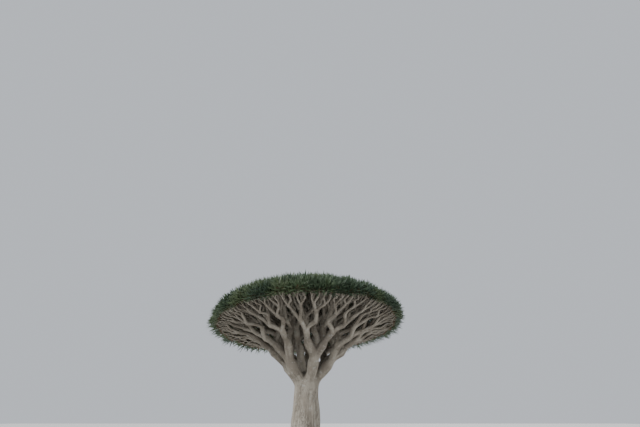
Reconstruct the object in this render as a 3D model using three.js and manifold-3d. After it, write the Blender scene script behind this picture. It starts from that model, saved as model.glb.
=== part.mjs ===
// A dragon blood tree, whole and rooted: a stout trunk that opens into forking boughs under a wide
// umbrella of sword-leaf rosettes. Millimetres, +Z up. The origin is the centre of the flat cut at
// ground level, and -Y is the side that the tree is mostly seen from.

import * as THREE from 'three';
import { mergeVertices } from 'three/addons/utils/BufferGeometryUtils.js';
import Module from 'manifold-3d';

const wasm = await Module();
wasm.setup();

// Driving dimensions of the trunk, by radius and level from the ground to the top of its head
const FOOT_RADIUS = 560;
const ANKLE = new THREE.Vector2(450, 330);
const THIGH = new THREE.Vector2(378, 1350);
const WAIST = new THREE.Vector2(338, 1850);
const HEAD = new THREE.Vector2(345, 2150);
const BROW = new THREE.Vector2(276, 2330);
const TRUNK_TOP = 2390;
const TRUNK_SIDES = 24;
const TRUNK_STEPS = 12;
const ROOT_LOBES = 7;
const ROOT_LOBE_DEPTH = 0.1;
const FLUTES = 11;
const FLUTE_DEPTH = 0.02;

// Driving dimensions of the crown, to the branch tips that carry the rosettes
const TIP_RADIUS = 2740;
const RIM_LEVEL = 3610;
const DOME_RISE = 920;
const RIM_ANGLE = THREE.MathUtils.degToRad(91);
const TILT_EAST = Math.tan(THREE.MathUtils.degToRad(2.6));
const TILT_SOUTH = Math.tan(THREE.MathUtils.degToRad(4.4));

// Where the boughs rise in the trunk's head, and the bend of their way out to the rim
const HEART_LEVEL = 2020;
const HEART_RADIUS = 165;
const HEART_POWER = 0.7;
const BEND_RADIUS = 1050;
const BEND_POWER = 1.1;
const BEND_LEVEL_TOP = 3350;
const BEND_DROP = 370;
const DROP_POWER = 1.5;

// How the crown is shared out: rings count from 0 at the top to 1 at the lower rim
const TOP_RING = 0.28;
const MIDDLE_RING = 0.62;
const MIDDLE_RING_WANDER = 0.05;
const OUTER_BOUGHS = 6;
const FIRST_BOUGH_ID = 11;
const FIRST_LEADER_ID = 5;
const LEADERS = 2;
const FIRST_TURN = THREE.MathUtils.degToRad(-104);
const LEAN_OUT = 0.66;

// Depths of the forks along the way from the trunk's head, 0, to the tips, 1
const BOUGH_FORK = 0.27;
const LEADER_FORK = 0.4;
const BRANCH_FORK = 0.46;
const TWIG_FORKS = [0.6, 0.7, 0.8];
const FORK_WANDER = 0.03;
const SIDE_WANDER = 0.2;
const SPLIT_WANDER = 0.14;

// Thickness: a limb that carries n of the finest tips has the finest radius times n to this power
const FINEST_RADIUS = 22;
const PIPE_POWER = 0.4;
const TIPS_PER_MASS = 32;
const THICK_START = 1.14;
const THIN_END = 0.92;
const KNOB_CLOSE = 0.6;
const LEAD_IN = 0.6;
const BOUGH_SIDES = 9;
const BOUGH_STEPS = 5;
const BRANCH_SIDES = 7;
const BRANCH_STEPS = 4;
const STEM_STEPS = 3;
const STEM_SQUARE = 1.15;
const CROTCH_LIFT = 0.5;
const CROTCH_WIDTH = 0.75;

// Rosettes: blades in turn stand up, lean and spread, by these angles from the twig's line
const BLADE_LENGTH = 370;
const BLADES = 6;
const BLADE_ANGLES = [22, 88, 52].map(THREE.MathUtils.degToRad);
const BLADE_SHORTENINGS = [1, 0.85, 0.7, 0.55, 0.4];
const NOTCH_RADIUS = 90;
const ROSETTE_TOP = 130;
const NECK = 45;
const BLADE_WANDER = 0.2;
const BLADE_SPREAD = 50;
const UPWARD_PULL = 0.42;
const TWIG_PULL = 0.4;

// Clearances
const GAP = 0.3;
const SPACE_MARGIN = 14;
const MERGE = 1e-3;

const bark = new THREE.MeshStandardMaterial({ color: 0x8d857a, roughness: 0.92, metalness: 0 });
const foliage = new THREE.MeshStandardMaterial({ color: 0x4d5f3c, roughness: 0.6, metalness: 0 });

// A number from 0 to 1 that depends only on its two arguments.
function chance(id, channel) {
  const wave = Math.sin(id * 12.9898 + channel * 78.233) * 43758.5453;
  return wave - Math.floor(wave);
}

// A number from -reach / 2 to reach / 2.
function wander(id, channel, reach) {
  return reach * (chance(id, channel) - 0.5);
}

// Solids

// The closed solid of a geometry whose seams meet.
function solidOf(geometry) {
  const bare = geometry.clone();
  bare.deleteAttribute('normal');
  bare.deleteAttribute('uv');
  const merged = mergeVertices(bare, MERGE);
  return new wasm.Manifold(new wasm.Mesh({
    numProp: 3,
    vertProperties: merged.attributes.position.array,
    triVerts: new Uint32Array(merged.index.array),
  }));
}

// The largest body of a solid that a cut may have left in pieces.
function largest(solid) {
  return solid.decompose().reduce((best, body) => (body.volume() > best.volume() ? body : best));
}

// A named mesh of a solid.
function meshOf(name, solid, material) {
  const { vertProperties, triVerts } = solid.getMesh();
  const geometry = new THREE.BufferGeometry();
  geometry.setAttribute('position', new THREE.BufferAttribute(vertProperties, 3));
  geometry.setIndex(new THREE.BufferAttribute(triVerts, 1));
  geometry.computeVertexNormals();
  const mesh = new THREE.Mesh(geometry, material);
  mesh.name = name;
  return mesh;
}

// Moves each vertex of a geometry by a function that is given where it was, and the vertex to set.
function reshape(geometry, place) {
  const positions = geometry.attributes.position;
  const vertex = new THREE.Vector3();
  for (let i = 0; i < positions.count; i += 1) {
    vertex.fromBufferAttribute(positions, i);
    place(vertex.clone(), vertex);
    positions.setXYZ(i, vertex.x, vertex.y, vertex.z);
  }
  return geometry;
}

// A limb along a curve, round in section and closed by a narrowed end. Its steps crowd towards the
// far end. Clearance swells it on all sides, for cutting what has to stay clear of it.
function limb(curve, startRadius, endRadius, sides, steps, clearance = 0) {
  const along = (step) => Math.sin((step / steps) * Math.PI / 2);
  const points = [];
  for (let step = 0; step <= steps; step += 1) {
    points.push(curve.getPoint(along(step)));
  }
  const { tangents, normals, binormals } = new THREE.CatmullRomCurve3(points).computeFrenetFrames(steps);
  return reshape(new THREE.CylinderGeometry(1, 1, 1, sides, steps), ({ x, y, z }, vertex) => {
    const step = Math.round((y + 0.5) * steps);
    const knob = step === steps ? KNOB_CLOSE : 1;
    const radius = THREE.MathUtils.lerp(startRadius, endRadius, along(step)) * knob + clearance;
    const push = step === steps ? clearance : step === 0 ? -clearance : 0;
    vertex.copy(points[step])
      .addScaledVector(normals[step], x * radius)
      .addScaledVector(binormals[step], -z * radius)
      .addScaledVector(tangents[step], push);
  });
}

// The radius of a limb by the number of finest tips that it carries.
function pipeRadius(tips) {
  return FINEST_RADIUS * tips ** PIPE_POWER;
}

// The crown's space

// The way out to one ring of the crown, as radius and level, from the trunk's heart to the tips.
function wayOut(ring) {
  const polar = ring * RIM_ANGLE;
  return new THREE.QuadraticBezierCurve(
    new THREE.Vector2(HEART_RADIUS * ring ** HEART_POWER, HEART_LEVEL),
    new THREE.Vector2(BEND_RADIUS * ring ** BEND_POWER, BEND_LEVEL_TOP - BEND_DROP * ring ** DROP_POWER),
    new THREE.Vector2(TIP_RADIUS * Math.sin(polar), RIM_LEVEL + DOME_RISE * Math.cos(polar)),
  );
}

// How far the crown's tilt lifts a place on a ring. The top is level, the rim climbs east and south.
function tiltLift(ring, x, y) {
  return (x * TILT_EAST - y * TILT_SOUTH) * ring * ring;
}

// The point at a depth, ring and turn of the crown.
function crownPoint({ depth, ring, turn }) {
  const { x: radius, y: level } = wayOut(ring).getPoint(depth);
  const x = radius * Math.cos(turn);
  const y = radius * Math.sin(turn);
  return new THREE.Vector3(x, y, level + tiltLift(ring, x, y) * depth);
}

// The outward direction of the dome at a place, drawn upwards as growing tips are.
function tipDirection({ ring, turn }) {
  const polar = ring * RIM_ANGLE;
  const out = new THREE.Vector2(Math.sin(polar) / TIP_RADIUS, Math.cos(polar) / DOME_RISE).normalize();
  return new THREE.Vector3(out.x * Math.cos(turn), out.x * Math.sin(turn), out.y + UPWARD_PULL).normalize();
}

// The ring that parts the dome's area between two rings at a share of it.
function ringAt(inner, outer, share) {
  const areaTo = (ring) => 1 - Math.cos(ring * RIM_ANGLE);
  return Math.acos(1 - THREE.MathUtils.lerp(areaTo(inner), areaTo(outer), share)) / RIM_ANGLE;
}

// A cell of the crown is a span of rings and turns. Its heart is a point near its middle.
function heartOf(cell, id, depth, share = 0.5) {
  return {
    depth: depth + wander(id, 4, FORK_WANDER),
    ring: ringAt(cell.inner, cell.outer, share + wander(id, 2, SIDE_WANDER)),
    turn: THREE.MathUtils.lerp(cell.from, cell.to, 0.5 + wander(id, 3, SIDE_WANDER)),
  };
}

// Splits a cell in two across its longer side.
function halves(cell, id) {
  const at = 0.5 + wander(id, 1, SPLIT_WANDER);
  const inner = wayOut(cell.inner).v2;
  const outer = wayOut(cell.outer).v2;
  const width = ((inner.x + outer.x) / 2) * (cell.to - cell.from);
  if (width > inner.distanceTo(outer)) {
    const turn = THREE.MathUtils.lerp(cell.from, cell.to, at);
    return [{ ...cell, to: turn }, { ...cell, from: turn }];
  }
  const ring = ringAt(cell.inner, cell.outer, at);
  return [{ ...cell, outer: ring }, { ...cell, inner: ring }];
}

// How far a point lies inside the walls of a cell: two upright planes through the axis, and the
// cones that the ways out of its inner and outer ring sweep, carried on past the tips.
function insideBy(cell, point) {
  const fromWall = point.y * Math.cos(cell.from) - point.x * Math.sin(cell.from);
  const toWall = point.x * Math.sin(cell.to) - point.y * Math.cos(cell.to);
  const out = Math.hypot(point.x, point.y);
  const coneSide = (ring) => {
    const way = wayOut(ring);
    const low = way.getPoint(BRANCH_FORK);
    const line = way.v2.clone().sub(low).normalize();
    const level = point.z - tiltLift(ring, point.x, point.y);
    return line.y * (out - low.x) - line.x * (level - low.y);
  };
  const innerWall = cell.inner > 0 ? coneSide(cell.inner) : Infinity;
  const outerWall = cell.outer < 1 ? -coneSide(cell.outer) : Infinity;
  return Math.min(fromWall, toWall, innerWall, outerWall);
}

// Parts of the tree

// The trunk, from the flat cut at the ground to its head, with lobed root flare and faint flutes.
function trunkGeometry(clearance = 0) {
  const flank = new THREE.SplineCurve([new THREE.Vector2(FOOT_RADIUS, 0), ANKLE, THIGH, WAIST, HEAD, BROW]);
  const profile = [
    new THREE.Vector2(0, 0),
    ...flank.getPoints(TRUNK_STEPS).map((point) => new THREE.Vector2(point.x + clearance, point.y)),
    new THREE.Vector2(0, TRUNK_TOP + clearance),
  ];
  const geometry = new THREE.LatheGeometry(profile, TRUNK_SIDES);
  geometry.rotateX(Math.PI / 2);
  return reshape(geometry, ({ x, y, z }, vertex) => {
    const turn = Math.atan2(y, x);
    const lobes = ROOT_LOBE_DEPTH * Math.exp(-z / ANKLE.y) * Math.cos(ROOT_LOBES * turn + Math.sin(turn));
    const flutes = FLUTE_DEPTH * Math.cos(FLUTES * turn + 2 * Math.sin(2 * turn + z / WAIST.y));
    const swell = 1 + lobes + flutes;
    vertex.set(x * swell, y * swell, z);
  });
}

// The curve of a limb between two hearts, with a lead-in sunk in the limb that it leaves.
function limbCurve(from, to, leadIn) {
  const points = [0, 1 / 3, 2 / 3, 1].map((share) => crownPoint({
    depth: THREE.MathUtils.lerp(from.depth, to.depth, share),
    ring: THREE.MathUtils.lerp(from.ring, to.ring, share),
    turn: THREE.MathUtils.lerp(from.turn, to.turn, share),
  }));
  if (leadIn > 0) {
    const back = crownPoint({ ...from, depth: from.depth - FORK_WANDER }).sub(points[0]);
    points.unshift(points[0].clone().add(back.setLength(leadIn)));
  }
  return new THREE.CatmullRomCurve3(points, false, 'centripetal');
}

// A bough or branch between two hearts, cut clear of the limbs that it leaves and grows beside.
// Its swollen copy joins them, for cutting what comes after.
function bough(name, from, to, tips, sides, steps, leadIn, others) {
  const curve = limbCurve(from, to, leadIn);
  const radius = pipeRadius(tips);
  const made = (clearance) => solidOf(
    limb(curve, radius * THICK_START, radius * THIN_END, sides, steps, clearance),
  );
  const cut = others.reduce((solid, other) => solid.subtract(other), made(0));
  const swollen = made(GAP);
  others.push(swollen);
  return { mesh: meshOf(name, largest(cut), bark), swollen };
}

// A closed skin of triangles over rings of points. Each ring is an array of the numbers of its
// points, counter-clockwise about the way that the rings follow.
class Skin {
  constructor() {
    this.places = [];
    this.faces = [];
  }

  // Adds points and returns their numbers.
  add(points) {
    const first = this.places.length;
    this.places.push(...points);
    return points.map((_, i) => first + i);
  }

  // Closes the first ring flat.
  closeRoot(ring) {
    for (let i = 1; i < ring.length - 1; i += 1) {
      this.faces.push([ring[0], ring[i + 1], ring[i]]);
    }
  }

  // Covers the sides between two rings. The upper one has as many points as the lower or a multiple.
  bridge(lower, upper) {
    const perLower = upper.length / lower.length;
    upper.forEach((point, i) => {
      const below = lower[Math.floor(i / perLower)];
      if (i % perLower === 0) {
        this.faces.push([below, point, lower[(Math.floor(i / perLower) + lower.length - 1) % lower.length]]);
      }
      this.faces.push([below, upper[(i + 1) % upper.length], point]);
    });
  }

  // Closes the last ring by faces that meet in a point.
  closeTip(ring, place) {
    const [top] = this.add([place]);
    ring.forEach((point, i) => this.faces.push([point, ring[(i + 1) % ring.length], top]));
  }

  solid() {
    return new wasm.Manifold(new wasm.Mesh({
      numProp: 3,
      vertProperties: new Float32Array(this.places.flatMap((place) => place.toArray())),
      triVerts: new Uint32Array(this.faces.flat()),
    }));
  }
}

// The part of a direction that lies square to a line, as a unit vector.
function squareTo(line, direction) {
  return direction.clone().addScaledVector(line, -direction.dot(line)).normalize();
}

// Four points round a centre, the first one halfway from side towards the turn about the line.
function squareRing(centre, line, side, radius) {
  const other = line.clone().cross(side);
  return [1, 3, 5, 7].map((eighth) => centre.clone()
    .addScaledVector(side, radius * Math.cos((eighth * Math.PI) / 4))
    .addScaledVector(other, radius * Math.sin((eighth * Math.PI) / 4)));
}

// A ring's points in the turned order that lies closest to the points of a lower ring.
function turnedTo(skin, lower, ring) {
  const centre = (points) => points
    .reduce((sum, point) => sum.add(skin.places[point]), new THREE.Vector3())
    .divideScalar(points.length);
  const drift = centre(ring).sub(centre(lower));
  const apart = (turn) => lower.reduce((sum, point, i) => (
    sum + skin.places[point].clone().add(drift).distanceTo(skin.places[ring[(i + turn) % ring.length]])
  ), 0);
  const turns = ring.map((_, turn) => turn).sort((a, b) => apart(a) - apart(b));
  return ring.map((_, i) => ring[(i + turns[0]) % ring.length]);
}

// A rosette of sword leaves on the end of a twig: a star of four-faced blades, each shortened or
// left out where it would leave its cell. The star is turned so that its first blade stands over the
// neck's first corner.
function growRosette(skin, neck, cell, id, tip, direction) {
  const side = squareTo(direction, skin.places[neck[0]].clone().sub(skin.places[neck[2]]));
  const other = direction.clone().cross(side);
  const aim = (turn, lean) => direction.clone().multiplyScalar(Math.cos(lean))
    .addScaledVector(side, Math.sin(lean) * Math.cos(turn))
    .addScaledVector(other, Math.sin(lean) * Math.sin(turn));
  const notch = Math.min(NOTCH_RADIUS, insideBy(cell, tip) - SPACE_MARGIN);
  const blade = (k) => {
    const lean = BLADE_ANGLES[k % BLADE_ANGLES.length] + wander(id * BLADES + k, 8, BLADE_WANDER);
    const way = aim((k / BLADES) * 2 * Math.PI, lean);
    const length = BLADE_LENGTH + wander(id * BLADES + k, 9, BLADE_SPREAD);
    const share = BLADE_SHORTENINGS.find((part) => (
      insideBy(cell, tip.clone().addScaledVector(way, length * part)) > SPACE_MARGIN
    ));
    return tip.clone().addScaledVector(way, share === undefined ? notch : length * share);
  };
  const star = [];
  for (let k = 0; k < BLADES; k += 1) {
    star.push(tip.clone().addScaledVector(aim(((k - 0.5) / BLADES) * 2 * Math.PI, Math.PI / 2), notch));
    star.push(blade(k));
  }
  const ring = skin.add(star);
  skin.bridge(neck, ring);
  skin.closeTip(ring, tip.clone().addScaledVector(direction, ROSETTE_TOP));
}

// Carries a twig's skin on to its heart, where its ring faces the two ways that it forks in.
function reachFork(skin, lower, cell, id, from, cameFrom, tips, level, clearance = 0) {
  const fork = crownPoint(from);
  const line = fork.clone().sub(cameFrom).normalize();
  const last = level === TWIG_FORKS.length - 1;
  const ways = halves(cell, id).map((half, side) => {
    const heart = heartOf(half, id * 2 + side, last ? 1 : TWIG_FORKS[level + 1]);
    return { half, heart, id: id * 2 + side, end: crownPoint(heart) };
  });
  const aside = squareTo(line, ways[1].end.clone().sub(ways[0].end));
  const radius = pipeRadius(tips) + clearance;
  const ring = skin.add(squareRing(fork, line, aside, radius));
  skin.bridge(lower, turnedTo(skin, lower, ring));
  return { fork, line, last, ways, aside, radius, ring };
}

// Forks a twig that has come to a heart in two, and those in turn, until each ends in a rosette.
function growFork(skin, lower, cell, id, from, cameFrom, tips, level) {
  const reached = reachFork(skin, lower, cell, id, from, cameFrom, tips, level);
  const { fork, line, last, ways, aside, radius, ring } = reached;

  // The crotch between the two is an edge across the ring's middle, a little further on.
  const crotch = fork.clone().addScaledVector(line, radius * CROTCH_LIFT);
  const across = line.clone().cross(aside).multiplyScalar(radius * CROTCH_WIDTH);
  const [left, right] = skin.add([crotch.clone().add(across), crotch.clone().sub(across)]);
  skin.faces.push([ring[0], ring[1], left], [ring[2], ring[3], right]);
  const roots = [[ring[1], ring[2], right, left], [ring[3], ring[0], left, right]];

  ways.forEach((way, k) => {
    if (!last) {
      growFork(skin, roots[k], way.half, way.id, way.heart, fork, tips / 2, level + 1);
      return;
    }
    const onward = way.end.clone().sub(fork).normalize();
    const outside = squareTo(onward, k === 0 ? aside.clone().negate() : aside);
    const neckCentre = way.end.clone().addScaledVector(onward, -NECK);
    const neck = skin.add(squareRing(neckCentre, onward, outside, pipeRadius(tips / 2)));
    const turned = turnedTo(skin, roots[k], neck);
    skin.bridge(roots[k], turned);
    const direction = tipDirection(way.heart).addScaledVector(onward, TWIG_PULL).normalize();
    growRosette(skin, turned, way.half, way.id, way.end, direction);
  });
}

// Starts a skin with the stem of a foliage mass, from its root in the bough's tip.
function growStem(skin, from, heart, clearance = 0) {
  const radius = pipeRadius(TIPS_PER_MASS) * STEM_SQUARE;
  const curve = limbCurve(from, heart, radius * LEAD_IN);
  const { tangents, normals } = curve.computeFrenetFrames(STEM_STEPS);
  let lower = null;
  for (let step = 0; step < STEM_STEPS; step += 1) {
    const share = step / STEM_STEPS;
    const size = radius * THREE.MathUtils.lerp(THICK_START, 1, share) + clearance * Math.SQRT2;
    const ring = skin.add(squareRing(curve.getPointAt(share), tangents[step], normals[step], size));
    if (lower === null) {
      skin.closeRoot(ring);
    } else {
      skin.bridge(lower, ring);
    }
    lower = ring;
  }
  return { lower, cameFrom: curve.getPointAt(1 - 1 / STEM_STEPS) };
}

// A mass of foliage: a stem cut clear of what it leaves, and all it carries. The stem's swollen
// copy is for cutting the mass that shares its root.
function mass(cell, id, from, neighbours) {
  const heart = heartOf(cell, id, TWIG_FORKS[0]);
  const skin = new Skin();
  const { lower, cameFrom } = growStem(skin, from, heart);
  growFork(skin, lower, cell, id, heart, cameFrom, TIPS_PER_MASS, 0);
  const cut = neighbours.reduce((solid, other) => solid.subtract(other), skin.solid());

  const cutter = new Skin();
  const swollen = growStem(cutter, from, heart, GAP);
  const { fork, line, radius, ring } = reachFork(
    cutter, swollen.lower, cell, id, heart, cameFrom, TIPS_PER_MASS, 0, GAP * Math.SQRT2,
  );
  cutter.closeTip(ring, fork.addScaledVector(line, radius));
  return { solid: largest(cut), swollenStem: cutter.solid() };
}

// The meshes of the two masses that share one limb's tip.
function massPair(names, cells, ids, from, carrier) {
  const taken = [carrier];
  return cells.map((cell, k) => {
    const made = mass(cell, ids[k], from, taken);
    taken.push(made.swollenStem);
    return meshOf(names[k], made.solid, foliage);
  });
}

// The whole tree

const tree = new THREE.Group();
tree.add(meshOf('trunk', solidOf(trunkGeometry()), bark));
const rising = [solidOf(trunkGeometry(GAP))];

// The cell of one of several limbs that stand round the trunk's axis.
function sectorCell(k, count, inner, outer) {
  const width = (2 * Math.PI) / count;
  return { inner, outer, from: FIRST_TURN + width * k, to: FIRST_TURN + width * (k + 1) };
}

// The two halves of a cell, side by side.
function sidesOf(cell) {
  const middle = (cell.from + cell.to) / 2;
  return [{ ...cell, to: middle }, { ...cell, from: middle }];
}

// Outer boughs: each forks in two branches side by side, and each branch in a middle and a rim mass.
for (let k = 0; k < OUTER_BOUGHS; k += 1) {
  const id = FIRST_BOUGH_ID + k;
  const cell = sectorCell(k, OUTER_BOUGHS, TOP_RING, 1);
  const heart = heartOf(cell, id, BOUGH_FORK, LEAN_OUT);
  const start = { ...heart, depth: 0 };
  const main = bough(`bough_${k + 1}`, start, heart, TIPS_PER_MASS * 4, BOUGH_SIDES, BOUGH_STEPS, 0, rising);
  tree.add(main.mesh);

  const beside = [main.swollen];
  sidesOf(cell).forEach((half, side) => {
    const branchId = id * 2 + side;
    const tag = `${k + 1}${'ab'[side]}`;
    const tips = TIPS_PER_MASS * 2;
    const fork = heartOf(half, branchId, BRANCH_FORK, LEAN_OUT);
    const sunk = pipeRadius(tips) * LEAD_IN;
    const branch = bough(`branch_${tag}`, heart, fork, tips, BRANCH_SIDES, BRANCH_STEPS, sunk, beside);
    const ring = MIDDLE_RING + wander(branchId, 5, MIDDLE_RING_WANDER);
    tree.add(branch.mesh, ...massPair(
      [`foliage_middle_${tag}`, `foliage_rim_${tag}`],
      [{ ...half, outer: ring }, { ...half, inner: ring }],
      [branchId * 2, branchId * 2 + 1],
      fork,
      branch.swollen,
    ));
  });
}

// Leaders: boughs that rise in the middle, each with two masses of the crown's top.
for (let k = 0; k < LEADERS; k += 1) {
  const id = FIRST_LEADER_ID + k;
  const cell = sectorCell(k, LEADERS, 0, TOP_RING);
  const heart = heartOf(cell, id, LEADER_FORK);
  const start = { ...heart, depth: 0 };
  const tips = TIPS_PER_MASS * 2;
  const leader = bough(`leader_${k + 1}`, start, heart, tips, BOUGH_SIDES, BOUGH_STEPS, 0, rising);
  tree.add(leader.mesh, ...massPair(
    [`foliage_top_${k + 1}a`, `foliage_top_${k + 1}b`],
    sidesOf(cell),
    [id * 2, id * 2 + 1],
    heart,
    leader.swollen,
  ));
}

export default tree;
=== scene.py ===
"""A dragon blood tree: a stout trunk, forking boughs and an umbrella crown of sword-leaf rosettes.

Everything is in metres, +Z up, with the ground at z = 0. The crown is shared out in cells by rings,
from 0 at its top to 1 at its lower rim, and by turns about the trunk. Every fork halves a cell by a
seeded rule, down to the single twigs that carry a rosette.
"""

from __future__ import annotations

import logging
import math
from collections.abc import Iterable, Sequence
from dataclasses import dataclass, field, replace
from enum import Enum, IntEnum

import bmesh
import bpy
import numpy as np
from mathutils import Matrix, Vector, noise

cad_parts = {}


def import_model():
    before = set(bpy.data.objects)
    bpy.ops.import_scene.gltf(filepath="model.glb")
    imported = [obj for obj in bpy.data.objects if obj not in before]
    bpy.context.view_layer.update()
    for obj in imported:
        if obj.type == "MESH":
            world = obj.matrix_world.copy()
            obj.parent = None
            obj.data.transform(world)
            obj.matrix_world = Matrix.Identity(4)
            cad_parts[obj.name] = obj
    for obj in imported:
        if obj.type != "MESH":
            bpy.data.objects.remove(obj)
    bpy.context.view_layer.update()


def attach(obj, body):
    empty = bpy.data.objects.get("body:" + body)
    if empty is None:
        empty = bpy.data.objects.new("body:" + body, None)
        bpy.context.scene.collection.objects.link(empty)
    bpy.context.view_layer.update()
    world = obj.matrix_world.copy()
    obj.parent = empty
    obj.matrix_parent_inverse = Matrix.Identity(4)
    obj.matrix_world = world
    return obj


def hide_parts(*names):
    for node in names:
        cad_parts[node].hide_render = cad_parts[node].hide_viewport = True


LOG = logging.getLogger("dragon_blood_tree")
FULL_TURN = 2 * math.pi
GOLDEN_TURN = math.radians(137.508)
SEED_STRIDE = 12.9898
CHANNEL_STRIDE = 78.233
SCRAMBLE = 43758.5453
BARK_SPACE = "bark_space"
SLIMNESS = "slimness"
CLEARNESS = "clearness"
ROSETTE_FORMS = 5
MOSTLY_ALONG = 0.8

Triple = tuple[float, float, float]
Mesh = bpy.types.Mesh
Material = bpy.types.Material
Piece = bpy.types.Object
Socket = bpy.types.NodeSocket
Feed = Socket | bpy.types.ID | float | str | tuple[float, ...] | list[Socket]


class Draw(IntEnum):
    """The free choices of a cell, limb or tip, each drawn from a channel of its own."""

    SPLIT = 1
    RING = 2
    TURN = 3
    DEPTH = 4
    MIDDLE_RING = 5
    SIDE_X = 6
    SIDE_Y = 7
    PHASE = 8
    STRAY_X = 11
    STRAY_Y = 12
    STRAY_Z = 13
    FORM = 14
    GREEN = 15


class LeafDraw(IntEnum):
    """The free choices of a leaf, each drawn from a channel of its own."""

    TURN = 1
    LEAN = 2
    LENGTH = 3
    BEND = 4


def chance(seed: int, channel: int) -> float:
    """Give a number from 0 to 1 that depends only on its two arguments.

    Args:
        seed: The number of a cell, limb or leaf.
        channel: Which of its free choices is drawn.

    Returns:
        The number.
    """
    wave = math.sin(seed * SEED_STRIDE + channel * CHANNEL_STRIDE) * SCRAMBLE
    return wave - math.floor(wave)


def wander(seed: int, channel: int, reach: float) -> float:
    """Give a number from -reach / 2 to reach / 2 that depends only on seed and channel."""
    return reach * (chance(seed, channel) - 0.5)


def unit(vectors: np.ndarray) -> np.ndarray:
    """Give vectors a length of 1."""
    return vectors / np.linalg.norm(vectors, axis=-1, keepdims=True)


def blend(low: float, high: float, share: float) -> float:
    """Give the value at a share of the way from low to high."""
    return low + (high - low) * share


def swell(share: np.ndarray, height: float, centre: float, reach: float) -> np.ndarray:
    """Give a smooth hump along shares, with its height, centre and reach."""
    return height * np.exp(-(((share - centre) / reach) ** 2))


def spline(points: np.ndarray, count: int) -> np.ndarray:
    """Lead a smooth curve through points.

    Args:
        points: The points, one in each row.
        count: How many points to give back.

    Returns:
        Points along the curve, from the first point to the last.
    """
    padded = np.vstack([points[:1], points, points[-1:]])
    places = np.linspace(0, len(points) - 1, count)
    first = np.minimum(places.astype(int), len(points) - 2)
    t = (places - first)[:, None]
    p0, p1, p2, p3 = (padded[first + k] for k in range(4))
    slope_in = (p2 - p0) / 2
    slope_out = (p3 - p1) / 2
    rise = 2 * t**3 - 3 * t**2
    return (rise + 1) * p1 - rise * p2 + (t**3 - 2 * t**2 + t) * slope_in + (t**3 - t**2) * slope_out


@dataclass(frozen=True)
class Place:
    """A point of the crown's space, by depth along the way out, ring and turn."""

    depth: float
    ring: float
    turn: float

    def towards(self, other: Place, share: float) -> Place:
        """Give the place at a share of the way to another one.

        Args:
            other: The place at the far end.
            share: The share of the way, from 0 to 1.

        Returns:
            The place between.
        """
        return Place(
            blend(self.depth, other.depth, share),
            blend(self.ring, other.ring, share),
            blend(self.turn, other.turn, share),
        )


@dataclass(frozen=True)
class Cell:
    """A span of rings and turns of the crown."""

    inner: float
    outer: float
    start: float
    stop: float

    def sides(self) -> tuple[Cell, Cell]:
        """Give the two halves of the cell, side by side."""
        middle = (self.start + self.stop) / 2
        return replace(self, stop=middle), replace(self, start=middle)


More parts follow.
